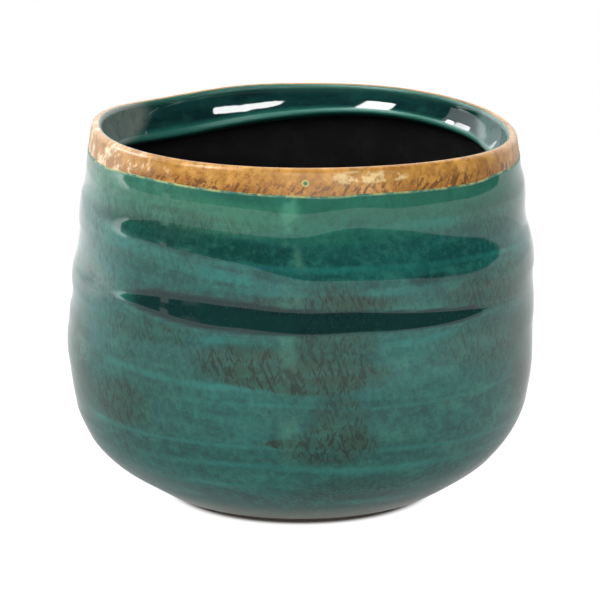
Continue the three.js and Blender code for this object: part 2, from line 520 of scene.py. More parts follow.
def swell(nodes, height, risen, bearing):
    """How far the hand-made wall swells beyond its smooth shape, and the pooled glaze, partly painted
    dark reflection.
    """
    across = nodes.math("SINE", bearing)
    along = nodes.math("DIVIDE", nodes.plus(height, nodes.times(across, RING_LEAN)), SWELL_REACH)
    reach, most = SWELL_REACH / MM, MOST_SWELL / MM
    sides = []
    for points in (SWELL_LEFT, SWELL_FRONT, SWELL_RIGHT):
        line = [(place / reach, 0.5 + size / most / 2) for place, size in points]
        sides.append(nodes.times(nodes.minus(nodes.curve(along, line), 0.5), 2 * MOST_SWELL))
    left, front, right = sides
    moved, pooled_and_painted_reflection = shoulders(nodes, risen, across)
    front = nodes.plus(front, moved)
    to_left = nodes.times(nodes.minus(left, front), nodes.rise(across, *LEFT_TAKES_OVER))
    to_right = nodes.times(nodes.minus(right, front), nodes.rise(across, *RIGHT_TAKES_OVER))
    return nodes.plus(front, to_left, to_right), pooled_and_painted_reflection


def geometry_tree(name, sockets):
    """A new tree with named inputs, each as (name, kind, value), and one output, the piece."""
    tree = bpy.data.node_groups.new(name, "GeometryNodeTree")
    for label, kind, value in sockets:
        socket = tree.interface.new_socket(label, in_out="INPUT", socket_type="NodeSocket" + kind)
        if value is not None:
            socket.default_value = value
    tree.interface.new_socket("Piece", in_out="OUTPUT", socket_type="NodeSocketGeometry")
    nodes = Nodes(tree)
    return tree, nodes, nodes.add("NodeGroupInput").outputs


def grid_round(nodes, sides, rows):
    """A grid for turning, with the row and the bearing of each point. Its last column comes
    back to the first."""
    columns = nodes.plus(sides, 1)
    grid = nodes.add("GeometryNodeMeshGrid", {"Vertices X": columns, "Vertices Y": rows})
    index = nodes.add("GeometryNodeInputIndex")
    column = nodes.math("FLOOR", nodes.math("DIVIDE", nodes.plus(index, 0.5), rows))
    row = nodes.minus(index, nodes.times(column, rows))
    turn = nodes.math("DIVIDE", nodes.math("MODULO", column, sides), sides)
    return grid.outputs["Mesh"], row, nodes.times(turn, 2 * math.pi)


def outwards_at(nodes, bearing):
    """The level direction of a bearing."""
    return nodes.combine(nodes.math("SINE", bearing), nodes.times(nodes.math("COSINE", bearing), -1), 0)


def finished(nodes, mesh, material):
    """Ends a tree with its piece, smooth, realized and in its material."""
    mesh = nodes.add("GeometryNodeSetShadeSmooth", {"Geometry": mesh})
    mesh = nodes.add("GeometryNodeRealizeInstances", {"Geometry": mesh})
    mesh = nodes.add("GeometryNodeSetMaterial", {"Geometry": mesh, "Material": material})
    nodes.add("NodeGroupOutput", {"Piece": mesh})


def turning_tree():
    """Turns a section, given as a line of points in the XZ plane, round the Z axis and
    then shapes it as the potter's hands did."""
    sockets = [
        ("Section", "Geometry", None),
        ("Sides", "Int", SIDES),
        ("Steady height", "Float", STEADY_HEIGHT),
        ("Rim height", "Float", RIM_HEIGHT),
        ("Swell", "Float", 1.0),
        ("Hand marks", "Float", 0.0),
        ("Material", "Material", None),
    ]
    for waves, word in ((LIP_WAVES, "Wave"), (LIP_LOBES, "Lobe")):
        for count, size, bearing in waves:
            sockets.append((f"{word} {count} size", "Float", size))
            sockets.append((f"{word} {count} bearing", "Float", math.radians(bearing)))
    tree, nodes, inputs = geometry_tree("Turned piece", sockets)

    # each point's place in the section
    size = nodes.add("GeometryNodeAttributeDomainSize", {"Geometry": inputs["Section"]})
    mesh, row, bearing = grid_round(nodes, inputs["Sides"], size.outputs["Point Count"])
    position = nodes.add("GeometryNodeInputPosition")
    place = nodes.add("GeometryNodeSampleIndex", data_type="FLOAT_VECTOR")
    for name, value in {"Geometry": inputs["Section"], "Value": position, "Index": row}.items():
        nodes.put(next(s for s in place.inputs if s.name == name and s.enabled), value)
    radius, inside, height = nodes.separate(next(s for s in place.outputs if s.enabled))
    across = nodes.math("SINE", bearing)

    # the lip's waves, lobes and dents
    loose = nodes.rise(height, inputs["Steady height"], inputs["Rim height"])
    wave = nodes.times(loose, lip_wave_sum(nodes, inputs, bearing, LIP_WAVES, "Wave"))
    lobe = nodes.times(loose, lip_wave_sum(nodes, inputs, bearing, LIP_LOBES, "Lobe"))
    near_lip = nodes.rise(height, RIM_HEIGHT - DENT_REACH, RIM_HEIGHT)
    wave = nodes.plus(wave, nodes.times(near_lip, bumps_round(nodes, bearing, LIP_DENTS)))

    # the wavering lower edge of the band, outside only
    edge = along_bearings(nodes, across, EDGE_BEARINGS, EDGE_RISES, MOST_EDGE_RISE)
    below_edge = nodes.rise(height, BAND_LINE - EDGE_REACH, BAND_LINE - 2 * MM)
    above_edge = nodes.rise(height, LIP_SPRING - 1 * MM, BAND_LINE + 1 * MM)
    outside = nodes.minus(MM, nodes.times(inside, MM))
    shift = nodes.times(edge, outside, nodes.times(below_edge, above_edge))
    wave = nodes.plus(wave, shift)

    # the throwing rings with their shoulders
    ring, pooled_and_painted_reflection = swell(nodes, height, nodes.plus(height, wave), bearing)
    ring = nodes.times(ring, inputs["Swell"])

    # the flares and sags of the bead, inside only
    flaring = nodes.times(
        nodes.rise(height, LIP_SPRING, LIP_SPRING - BEAD_DEPTH, smooth=False),
        nodes.rise(height, LIP_SPRING - SAG_REACH, LIP_SPRING - BEAD_END),
    )
    flare = nodes.times(bumps_round(nodes, bearing, FLARES), inside, flaring)
    sagging = nodes.times(
        nodes.rise(height, LIP_SPRING - 1 * MM, LIP_SPRING - COLLAR_DEPTH),
        nodes.rise(height, LIP_SPRING - SAG_REACH, LIP_SPRING - COLLAR_DEPTH),
    )
    sag = nodes.times(bumps_round(nodes, bearing, BEAD_SAGS), sagging)
    wave = nodes.plus(wave, nodes.times(sag, inside))

    # the marks of the hand
    outwards = outwards_at(nodes, bearing)
    spot = nodes.vector("ADD", nodes.scaled(outwards, radius), nodes.combine(0, 0, height))
    marks = nodes.minus(nodes.noise(spot, HAND_MARK_SCALE, 1.0), 0.5)
    marks = nodes.times(marks, inputs["Hand marks"])

    off_axis = nodes.rise(radius, 0, FOOT_RADIUS - FOOT_LAND)
    inwards = nodes.minus(nodes.times(shift, -WALL_TAPER), flare)
    uneven = nodes.times(nodes.plus(lobe, ring, marks, inwards), off_axis)
    spread = nodes.scaled(outwards, nodes.plus(radius, uneven))
    shaped = nodes.vector("ADD", spread, nodes.combine(0, 0, nodes.plus(height, wave)))

    for name, value in (("turned_height", height), ("pooled_and_painted_reflection", pooled_and_painted_reflection)):
        kept = {"Geometry": mesh, "Name": name, "Value": value}
        mesh = nodes.add("GeometryNodeStoreNamedAttribute", kept)
    mesh = nodes.add("GeometryNodeSetPosition", {"Geometry": mesh, "Position": shaped})
    mesh = nodes.add("GeometryNodeMergeByDistance", {"Geometry": mesh, "Distance": JOIN_DISTANCE})
    finished(nodes, mesh, inputs["Material"])
    return tree


def made_plain(name, base, tree, values):
    """Runs a node tree on a base object and keeps the result as a plain mesh object."""
    modifier = base.modifiers.new("Shape", "NODES")
    modifier.node_group = tree
    for socket in tree.interface.items_tree:
        if socket.item_type == "SOCKET" and socket.in_out == "INPUT" and socket.name in values:
            modifier[socket.identifier] = values[socket.name]
    bpy.context.view_layer.update()
    depsgraph = bpy.context.evaluated_depsgraph_get()
    mesh = bpy.data.meshes.new_from_object(base.evaluated_get(depsgraph), depsgraph=depsgraph)
    base.modifiers.remove(modifier)
    bpy.data.objects.remove(base)
    mesh.name = name
    piece = bpy.data.objects.new(name, mesh)
    bpy.context.scene.collection.objects.link(piece)
    return piece


def base_object(name, points=(), edges=()):
    mesh = bpy.data.meshes.new(name)
    mesh.from_pydata(points, edges, [])
    base = bpy.data.objects.new(name, mesh)
    bpy.context.scene.collection.objects.link(base)
    return base


def turned_piece(name, section, material, **values):
    """The section's Y, which turning leaves out, says whether a point is inside the pot."""
    points = [(point.x, is_inside(point), point.y) for point in section]
    edges = [(index, index + 1) for index in range(len(points) - 1)]
    base = base_object(name + "_section", points, edges)
    return made_plain(name, base, TURNING, {"Material": material} | values)


def coat_piece(name, section, material):
    return turned_piece(name, section, material, **{"Hand marks": HAND_MARKS})


def closed(section):
    return [*section, section[0]]


# ======== Finishes ========


def finish_nodes(name):
    material, nodes = empty_material(name)
    shader = nodes.add("ShaderNodeBsdfPrincipled")
    nodes.add("ShaderNodeOutputMaterial", {"Surface": shader})
    place = nodes.add("ShaderNodeTexCoord").outputs["Object"]
    return material, nodes, shader, place


def attribute(nodes, name):
    return nodes.add("ShaderNodeAttribute", attribute_name=name).outputs["Fac"]


def bumped(nodes, shader, height, distance):
    bump = nodes.add("ShaderNodeBump", {"Height": height, "Distance": distance, "Strength": 1.0})
    nodes.put(shader.inputs["Normal"], bump.outputs[0])


def bearing_of(nodes, place):
    """The bearing in degrees; it jumps only at the back of the pot."""
    x, y, _ = nodes.separate(place)
    return nodes.times(nodes.math("ARCTAN2", x, nodes.times(y, -1)), 180 / math.pi)


def coat_places(nodes, place):
    """The bearing in degrees and the turned height in millimetres."""
    return bearing_of(nodes, place), nodes.times(attribute(nodes, "turned_height"), 1000)


def blot(nodes, bearing, height, centre, reach, soft=0.6):
    """A soft-edged patch, 1 in its middle, at (bearing, height) with its reach each way."""
    across = nodes.math("DIVIDE", nodes.minus(bearing, centre[0]), reach[0])
    up = nodes.math("DIVIDE", nodes.minus(height, centre[1]), reach[1])
    far = nodes.plus(nodes.times(across, across), nodes.times(up, up))
    return nodes.rise(far, 1 + soft, 1 - soft)


# Brown wash at the front, as (bearing, height), (reach round, reach up) and strength
BROWN_WASH = (
    ((-12, 80), (13, 8), 1.2),
    ((8, 92), (9, 22), 0.9),
    ((2, 75), (18, 7), 1.3),
    ((9, 56), (7, 12), 0.8),
    ((7, 45), (11, 8), 1.0),
    ((4, 105), (22, 4), 1.0),
    ((60, 105), (24, 9), 0.9),
    ((50, 82), (16, 10), 0.7),
    ((60, 135), (18, 9), 0.7),
    ((-30, 136), (24, 4), 0.5),
    ((-66, 128), (14, 7), 0.25),
    ((-48, 56), (10, 10), 0.8),
    ((-38, 90), (14, 5), 0.6),
    ((-75, 60), (16, 22), 0.7),
    ((78, 70), (18, 26), 0.7),
    ((-4, 47), (4, 2), 1.4),
    ((16, 24), (16, 6), 0.5),
)

# Places where the glaze is thin and pale, greener or deeper, like the brown wash, and each with
# its lean to the right and its colour. The pale ones at the left are also painted light of that
# brighter side, and the deep greens over the shoulders are painted dark reflection in the streaks
TINTS_AND_PAINTED_LIGHT = (
    ((-50, 140), (26, 18), 0.9, 0, (94, 144, 130)),
    ((-70, 118), (24, 26), 0.6, 0, (84, 134, 132)),
    ((-62, 104), (14, 8), 0.6, 0, (92, 106, 100)),
    ((-76, 72), (14, 8), 0.6, 0, (104, 146, 140)),
    ((-22, 139), (26, 6.5), 0.8, 0, (66, 130, 102)),
    ((-58, 143), (14, 8), 0.9, 0, (136, 176, 162)),
    ((-64, 131), (16, 8), 0.8, 0, (104, 148, 146)),
    ((14, 140), (32, 9), 0.6, 0, (38, 102, 82)),
    ((-26, 118.5), (22, 2.6), 0.55, 15, (28, 114, 108)),
    ((6, 134), (16, 5), 0.5, 0, (26, 84, 72)),
    ((24, 118), (22, 2.2), 0.3, 6, (30, 108, 102)),
    ((46, 122), (16, 6), 0.8, 0, (14, 60, 58)),
    ((-42, 131.5), (8, 2.6), 0.8, 9, (8, 66, 66)),
    ((-38, 124), (10, 2.4), 0.7, 9, (30, 116, 112)),
    ((33, 112.5), (6, 3.6), 0.9, 0, (8, 44, 46)),
    ((-26, 129), (30, 4.6), 0.95, 9, (16, 58, 52)),
)

# Pale lines that the brush left over the rings, as (height, width, lean, strength)
PALE_LINES = (
    (137, 2.6, 2.0, 0.8),
    (120.5, 2.2, 3.0, 0.7),
    (110, 3.2, 2.0, 0.6),
    (89.5, 2.4, 1.0, 0.8),
    (69, 2.2, 5.0, 0.9),
    (63, 1.6, 1.5, 0.6),
    (44, 1.8, 2.5, 0.7),
    (35, 2.4, 1.0, 0.8),
    (24, 2.0, 3.0, 0.6),
    (16, 2.6, 1.0, 0.7),
)


def leaning(nodes, place, twist):
    """Coordinates turned further round the higher they are, so that upright marks lean."""
    values = {"Vector": place, "Angle": nodes.times(nodes.separate(place)[2], twist)}
    return nodes.add("ShaderNodeVectorRotate", values, rotation_type="Z_AXIS")


def brush_strokes(nodes, place, twist, scale, stretch, low, high):
    """Short marks, longer than they are wide, which lean by the twist."""
    along = nodes.vector("MULTIPLY", leaning(nodes, place, twist), (1, 1, stretch))
    return nodes.rise(nodes.noise(along, scale, 2.0, 0.55, 0.5), low, high)


def tints_and_painted_light(nodes, tone, bearing, height, across, mottle):
    # glaze colours, with painted light at the left and painted dark reflection on the shoulders
    for centre, reach, strength, lean, tint in TINTS_AND_PAINTED_LIGHT:
        leant = nodes.math("MULTIPLY_ADD", across, lean, height)
        level_there = centre[1] + lean * math.sin(math.radians(centre[0]))
        spread = blot(nodes, bearing, leant, (centre[0], level_there), reach, 0.7)
        shown = nodes.times(spread, nodes.math("MULTIPLY_ADD", mottle, 1.2, 0.35))
        tone = tinted(nodes, tone, nodes.math("MINIMUM", shown, 1), strength, tint)
    return tone


def pale_lines(nodes, place, height, across, broad_brush):
    """Lines where the glaze broke over the rings, which wander and fade here and there."""
    wander = nodes.times(nodes.minus(broad_brush, 0.5), 5)
    bend = nodes.times(nodes.minus(nodes.noise(place, 14, 1.0), 0.5), 8)
    lines = []
    for index, (line, width, lean, strength) in enumerate(PALE_LINES):
        centre = nodes.minus(nodes.plus(height, wander, bend), line)
        away = nodes.math("ABSOLUTE", nodes.plus(centre, nodes.times(across, lean)))
        faded = nodes.noise(nodes.vector("ADD", place, (0.1 * index, 0, 0)), 18, 2.0)
        shown = nodes.times(nodes.rise(away, width, 0.1), nodes.rise(faded, 0.36, 0.6))
        lines.append(nodes.times(shown, strength))
    return nodes.math("MINIMUM", nodes.plus(*lines), 1)


def brown_wash(nodes, place, bearing, height):
    """Brushed on in patches at the front, and anyhow elsewhere."""
    patches = []
    for centre, reach, strength in BROWN_WASH:
        patches.append(nodes.times(blot(nodes, bearing, height, centre, reach), strength))
    elsewhere = nodes.noise(nodes.vector("ADD", place, (0.3, 0.1, 0.0)), 19, 2.0)
    front = nodes.rise(nodes.math("ABSOLUTE", bearing), 80, 60)
    unplaced = nodes.minus(1, nodes.times(front, 0.8))
    patches.append(nodes.times(nodes.rise(elsewhere, 0.52, 0.64), unplaced))
    return nodes.math("MINIMUM", nodes.plus(*patches), 1.2)


def pale_run(nodes, place, bearing, height, pooled_and_painted_reflection):
    """A run of pale glaze down the front, a little left of the middle."""
    bend = nodes.times(nodes.minus(nodes.noise(place, 40, 1.0), 0.5), 5)
    away = nodes.math("ABSOLUTE", nodes.plus(bearing, 2.5, bend))
    run = nodes.times(nodes.rise(away, 3.6, 0.5), nodes.rise(height, 25, 60))
    run = nodes.times(run, nodes.rise(nodes.noise(place, 95, 3.0), 0.38, 0.6))
    stronger_up = nodes.math("MULTIPLY_ADD", nodes.rise(height, 95, 118), 0.35, 0.2)
    return nodes.times(run, nodes.minus(1, pooled_and_painted_reflection), stronger_up)


def teal_glaze():
    material, nodes, shader, place = finish_nodes("teal_glaze")
    bearing, height = coat_places(nodes, place)
    across = nodes.math("SINE", nodes.times(bearing, math.pi / 180))

    cloud = nodes.noise(place, 20, 3.0, 0.6)
    mottle = nodes.noise(place, 170, 5.0, 0.7)
    fine = nodes.noise(place, 430, 3.0, 0.7)
    grain = nodes.noise(place, 900, 2.0, 0.6)
    smears = nodes.noise(nodes.vector("MULTIPLY", place, (1, 1, 2.4)), 48, 5.0, 0.66)
    fine_brush = nodes.noise(nodes.vector("MULTIPLY", place, (0.22, 0.22, 1.0)), 260, 4.0, 0.65)
    broad_brush = nodes.noise(nodes.vector("MULTIPLY", place, (0.1, 0.1, 1.0)), 70, 3.0, 0.55)

    tone = nodes.mix(nodes.rise(broad_brush, 0.32, 0.68), colour(22, 68, 65), colour(28, 86, 81))
    tone = layered(nodes, tone, (fine_brush, 0.4, 0.75, 0.45, (22, 92, 86)))
    # patches of glaze colour, with painted light at the left and painted dark reflection in the streaks
    tone = tints_and_painted_light(nodes, tone, bearing, height, across, mottle)
    tone = layered(
        nodes,
        tone,
        (cloud, 0.42, 0.7, 0.5, (22, 66, 58)),
        (smears, 0.52, 0.68, 0.5, (46, 106, 90)),
        (smears, 0.46, 0.34, 0.5, (14, 56, 56)),
        (mottle, 0.48, 0.72, 0.5, (38, 104, 90)),
        (mottle, 0.48, 0.3, 0.5, (10, 50, 48)),
        (fine, 0.5, 0.66, 0.3, (48, 106, 94)),
        (fine, 0.48, 0.34, 0.3, (12, 46, 44)),
    )
    lines = pale_lines(nodes, place, height, across, broad_brush)
    tone = tinted(nodes, tone, lines, 0.5, (38, 114, 108))

    wash = brown_wash(nodes, place, bearing, height)
    ragged = nodes.rise(nodes.plus(nodes.times(fine_brush, 0.4), nodes.times(mottle, 0.6)), 0.4, 0.6)
    brown = nodes.times(wash, nodes.plus(0.3, nodes.times(ragged, 0.5)))
    tone = nodes.mix(nodes.math("MINIMUM", brown, 0.9), tone, colour(32, 58, 44))

    # dark strokes of the brush in the wash, and a few thin ones outside it
    right_strokes = brush_strokes(nodes, place, 3.5, 520, 0.26, 0.53, 0.62)
    left_strokes = brush_strokes(nodes, place, -3.0, 700, 0.34, 0.55, 0.63)
    strokes = nodes.math("MAXIMUM", right_strokes, left_strokes)
    inked = nodes.times(strokes, nodes.plus(nodes.times(wash, 0.6), 0.08))
    tone = nodes.mix(nodes.math("MINIMUM", inked, 0.9), tone, colour(14, 34, 28))

    # glaze pooled on the shoulders hides what is under it; its dark is partly painted reflection of the
    # dark room
    pooled_and_painted_reflection = attribute(nodes, "pooled_and_painted_reflection")
    tone = tinted(nodes, tone, pooled_and_painted_reflection, 0.9, (12, 34, 34))
    run = pale_run(nodes, place, bearing, height, pooled_and_painted_reflection)
    tone = nodes.mix(run, tone, colour(78, 136, 112))

    # greener under the band, with the thin pale edge of the glaze itself
    near_band = nodes.rise(height, BAND_MARK - 22, BAND_MARK - 2)
    tone = tinted(nodes, tone, near_band, nodes.math("MULTIPLY_ADD", run, -1.0, 0.6), (42, 90, 72))
    edge = nodes.rise(height, BAND_MARK - 0.7, BAND_MARK - 0.1)
    tone = tinted(nodes, tone, nodes.times(edge, nodes.rise(mottle, 0.4, 0.6)), 0.75, (150, 150, 90))

    # thin and brown by the foot, and lighter there as painted reflection of the table, with pale specks
    # all over
    by_foot = nodes.plus(height, nodes.times(mottle, 8))
    tone = layered(
        nodes,
        tone,
        (by_foot, 18, 8, 0.8, (116, 124, 104)),
        (grain, 0.62, 0.72, 0.18, (50, 112, 98)),
    )
    nodes.put(shader.inputs["Base Color"], tone)

    dull_edge = nodes.rise(height, BAND_MARK - 0.9, BAND_MARK - 0.3)
    nodes.put(shader.inputs["Roughness"], nodes.math("MULTIPLY_ADD", dull_edge, 0.5, 0.05))
    shader.inputs["IOR"].default_value = GLAZE_IOR
    ripple = nodes.plus(
        nodes.noise(nodes.vector("MULTIPLY", place, (0.3, 0.3, 1.0)), 60, 2.0),
        nodes.times(mottle, 0.12),
        nodes.times(run, 0.5),
    )
    bumped(nodes, shader, ripple, 0.06 * MM)
    return material


# Painted reflections of the pale surround inside the collar, at the left and the right, as
# (bearing, height), (reach round, reach up) and colour
PAINTED_VEIL_REFLECTIONS = (
    ((-104, 156), (26, 10), (104, 114, 108)),
    ((98, 156), (18, 10), (106, 128, 124)),
)


def collar_glaze():
    material, nodes, shader, place = finish_nodes("collar_glaze")
    bearing, height = coat_places(nodes, place)
    mottle = nodes.noise(place, 120, 3.0, 0.6)
    brushed = nodes.noise(nodes.vector("MULTIPLY", place, (0.2, 0.2, 1.0)), 150, 3.0, 0.6)
    tone = nodes.mix(nodes.rise(brushed, 0.35, 0.7), colour(10, 35, 37), colour(17, 54, 52))
    uneven_height = nodes.plus(height, nodes.times(mottle, 1.5))
    tone = layered(
        nodes,
        tone,
        (mottle, 0.5, 0.8, 0.35, (30, 82, 70)),
        (uneven_height, BEAD_MARK + 2.8, BEAD_MARK + 0.3, 0.75, (34, 96, 82)),
        (height, RIM_MARK - 4.5, RIM_MARK - 1.5, 0.7, (38, 90, 76)),
    )
    speckle = nodes.noise(place, 260, 4.0, 0.7)
    # the pale veils at the collar's two ends are painted reflection, speckled
    for centre, reach, tint in PAINTED_VEIL_REFLECTIONS:
        painted_veil = blot(nodes, bearing, height, centre, reach, 0.3)
        tone = tinted(nodes, tone, nodes.times(painted_veil, nodes.rise(speckle, 0.0, 0.55)), 0.85, tint)
    nodes.put(shader.inputs["Base Color"], tone)

    # duller under the crest of the bead and at the crest of the lip
    under_bead = nodes.rise(height, BEAD_MARK + 0.5, BEAD_MARK)
    dull = nodes.math("MAXIMUM", under_bead, nodes.rise(height, RIM_MARK - 3.2, RIM_MARK - 2))
    nodes.put(shader.inputs["Roughness"], nodes.math("MULTIPLY_ADD", dull, 0.4, 0.04))
    shader.inputs["IOR"].default_value = GLAZE_IOR
    bumped(nodes, shader, nodes.noise(place, 60, 2.0), 0.12 * MM)
    return material


# The drop of teal glaze that fell on the band, as (bearing, height), its radius, the width of
# the pale ring round it, and what a degree measures there
TEAL_DROP = (1.2, 154.6)
DROP_RADIUS = 1.05
DROP_RING = 0.7
DEGREE_ON_RIM = RIM_RADIUS / MM * math.pi / 180


def teal_drop(nodes, bearing, height, mottle):
    """The pale ring round the drop, and the drop."""
    aside = nodes.times(nodes.minus(bearing, TEAL_DROP[0]), DEGREE_ON_RIM)
    up = nodes.minus(height, TEAL_DROP[1])
    away = nodes.math("SQRT", nodes.plus(nodes.times(aside, aside), nodes.times(up, up)))
    away = nodes.plus(away, nodes.times(nodes.minus(mottle, 0.5), 1.0))
    ring = nodes.rise(away, DROP_RADIUS + DROP_RING, DROP_RADIUS)
    return ring, nodes.rise(away, DROP_RADIUS, DROP_RADIUS - 0.5)


def ochre_glaze():
    material, nodes, shader, place = finish_nodes("ochre_glaze")
    bearing, height = coat_places(nodes, place)
    cloud = nodes.noise(place, 34, 3.0, 0.6)
    blotch = nodes.noise(place, 130, 4.0, 0.65)
    mottle = nodes.noise(place, 300, 5.0, 0.7)
    grain = nodes.noise(place, 1300, 2.0, 0.6)
    tone = nodes.mix(nodes.rise(cloud, 0.35, 0.65), colour(150, 104, 40), colour(162, 118, 48))
    low = nodes.rise(nodes.plus(height, nodes.times(cloud, 8)), BAND_MARK + 12, BAND_MARK + 3)
    tone = tinted(nodes, tone, low, 0.85, (130, 84, 30))
    tone = layered(
        nodes,
        tone,
        (mottle, 0.5, 0.7, 0.4, (176, 132, 58)),
        (mottle, 0.48, 0.34, 0.65, (112, 68, 28)),
        (blotch, 0.5, 0.62, 0.45, (192, 144, 76)),
        (blotch, 0.48, 0.38, 0.5, (118, 74, 28)),
    )

    # brown specks and short strokes, thick along the lower edge
    short = brush_strokes(nodes, place, -7.0, 450, 0.55, 0.5, 0.58)
    strokes = nodes.math("MAXIMUM", short, nodes.rise(grain, 0.6, 0.66))
    where = nodes.rise(nodes.plus(nodes.times(low, 0.45), cloud), 0.42, 0.8)
    tone = tinted(nodes, tone, nodes.times(strokes, where), 0.85, (86, 50, 20))
    upright = brush_strokes(nodes, place, 6.0, 520, 0.16, 0.57, 0.65)
    upright = nodes.times(upright, blot(nodes, bearing, height, (47, 153), (15, 6)))
    tone = tinted(nodes, tone, upright, 0.6, (120, 76, 36))

    # pale where the glaze is thin, and pinker, with chalky and scorched spots, at the left
    long_patch = blot(nodes, bearing, height, (16, 156.5), (9, 2.6))
    patch = nodes.math("MAXIMUM", long_patch, blot(nodes, bearing, height, (23, 156), (5, 1.8)))
    pale = nodes.times(nodes.rise(nodes.noise(place, 210, 3.0, 0.6), 0.44, 0.56), patch)
    tone = tinted(nodes, tone, pale, 0.6, (204, 186, 136))
    pink = blot(nodes, bearing, height, (-66, 155), (30, 9))
    tone = tinted(nodes, tone, pink, 0.45, (184, 144, 100))
    chalky = nodes.times(pink, nodes.rise(blotch, 0.5, 0.6))
    tone = tinted(nodes, tone, chalky, 0.75, (224, 202, 172))
    scorched = nodes.times(pink, nodes.rise(nodes.noise(place, 190, 3.0, 0.6), 0.5, 0.6))
    tone = tinted(nodes, tone, scorched, 0.55, (124, 84, 48))

    ring, drop = teal_drop(nodes, bearing, height, mottle)
    tone = tinted(nodes, tone, ring, 0.8, (166, 168, 100))
    tone = nodes.mix(drop, tone, colour(32, 98, 62))
    nodes.put(shader.inputs["Base Color"], tone)

    crest = nodes.rise(height, RIM_MARK - 3, RIM_MARK - 1)
    nodes.put(shader.inputs["Roughness"], nodes.math("MULTIPLY_ADD", crest, -0.1, 0.34))
    shader.inputs["IOR"].default_value = 1.5
    rough = nodes.plus(mottle, nodes.times(grain, 0.3), nodes.times(strokes, -0.3), drop)
    bumped(nodes, shader, rough, 0.12 * MM)
    return material


def black_sealer():
    material, nodes, shader, place = finish_nodes("black_sealer")
    mottle = nodes.noise(place, 90, 3.0, 0.6)
    tone = nodes.mix(nodes.rise(mottle, 0.4, 0.7), colour(14, 14, 14), colour(21, 21, 21))
    nodes.put(shader.inputs["Base Color"], tone)
    shader.inputs["Roughness"].default_value = 0.75
    shader.inputs["Specular IOR Level"].default_value = 0.1
    bumped(nodes, shader, nodes.noise(place, 300, 3.0), 0.15 * MM)
    return material


def bare_stoneware():
    material, nodes, shader, place = finish_nodes("bare_stoneware")
    grog = nodes.noise(place, 1400, 2.0, 0.7)
    cloud = nodes.noise(place, 60, 3.0, 0.6)
    tone = nodes.mix(nodes.rise(cloud, 0.35, 0.65), colour(150, 128, 98), colour(128, 106, 80))
    tone = layered(nodes, tone, (grog, 0.58, 0.7, 0.6, (86, 70, 54)))
    nodes.put(shader.inputs["Base Color"], tone)
    shader.inputs["Roughness"].default_value = 0.85
    bumped(nodes, shader, grog, 0.15 * MM)
    return material


def pressed_felt():
    material, nodes, shader, place = finish_nodes("pressed_felt")
    fibres = nodes.noise(place, 2600, 3.0, 0.7, 1.5)
    tone = nodes.mix(fibres, colour(34, 32, 30), colour(72, 68, 62))
    nodes.put(shader.inputs["Base Color"], tone)
    shader.inputs["Roughness"].default_value = 0.95
    shader.inputs["Sheen Weight"].default_value = 0.4
    bumped(nodes, shader, fibres, 0.3 * MM)
    return material


# ======== The pieces of the pot ========


def outer_glaze_piece():
    line = outside_line(GLAZE_LINE, BAND_LINE + 0.4 * MM)
    face, back = coat_section(line, start_round=0.7 * MM, end_round=0.3 * MM)
    return coat_piece("teal_glaze_coat", closed(face + back), teal_glaze())


def rim_band_piece():
    line = outside_line(BAND_LINE - 1.5 * MM, LIP_SPRING) + lip_line(0, LIP_SHARE)
    face, back = coat_section(line, sunk=0.15 * MM, start_round=0, end_round=0)
    return coat_piece("ochre_band_coat", closed(face + back), ochre_glaze())


def collar_piece():
    line = lip_line(LIP_SHARE - 0.03, 1) + inside_line(LIP_SPRING, LIP_SPRING - COLLAR_DEPTH)
    face, back = coat_section(line, end_round=0.6 * MM)
    return coat_piece("teal_collar_coat", closed(face + back), collar_glaze())


def floor_corner():
    low, high = FOOT_HEIGHT, BELLY_HEIGHT
    for _ in range(40):
        middle = (low + high) / 2
        if inner_point(middle).y < FLOOR_HEIGHT:
            low = middle
        else:
            high = middle
    return high


def black_inside_piece():
    wall = inside_line(LIP_SPRING - COLLAR_DEPTH + 1 * MM, floor_corner())
    line = evenly(wall, 2 * MM) + [Vector((0, FLOOR_HEIGHT))]
    line = evenly(line, 2 * MM)
    face = inset(line, [0.25 * MM] * len(line))
    face[-1] = Vector((0, face[-1].y))
    back = inset(line, [COAT] * len(line))[::-1]
    back[0] = Vector((0, back[0].y))
    return coat_piece("black_inside_coat", back + face, black_sealer())


def clay_piece():
    line = outside_line(GLAZE_LINE - 1.2 * MM, LIP_SPRING) + lip_line()
    line += inside_line(LIP_SPRING, floor_corner()) + [Vector((0, FLOOR_HEIGHT))]
    line = evenly(line, 3 * MM)
    skin = inset(line, [CLAY_DEPTH] * len(line))
    skin[-1] = Vector((0, skin[-1].y))
    edge = FOOT_RADIUS - COAT_AND_GAP
    hollow = edge - FOOT_LAND
    soft = 0.8 * MM
    foot = [
        Vector((0, FOOT_HEIGHT + FOOT_RECESS)),
        Vector((hollow - 5 * MM, FOOT_HEIGHT + FOOT_RECESS)),
        Vector((hollow - 3 * MM, FOOT_HEIGHT + FOOT_RECESS * 0.8)),
        Vector((hollow - soft, FOOT_HEIGHT + soft * 0.6)),
        Vector((hollow, FOOT_HEIGHT)),
        Vector((edge - soft, FOOT_HEIGHT)),
        Vector((edge + 0.2 * MM, FOOT_HEIGHT + soft * 0.5)),
    ]
    return turned_piece("bare_clay_body", foot + skin, bare_stoneware(), Sides=CLAY_SIDES)


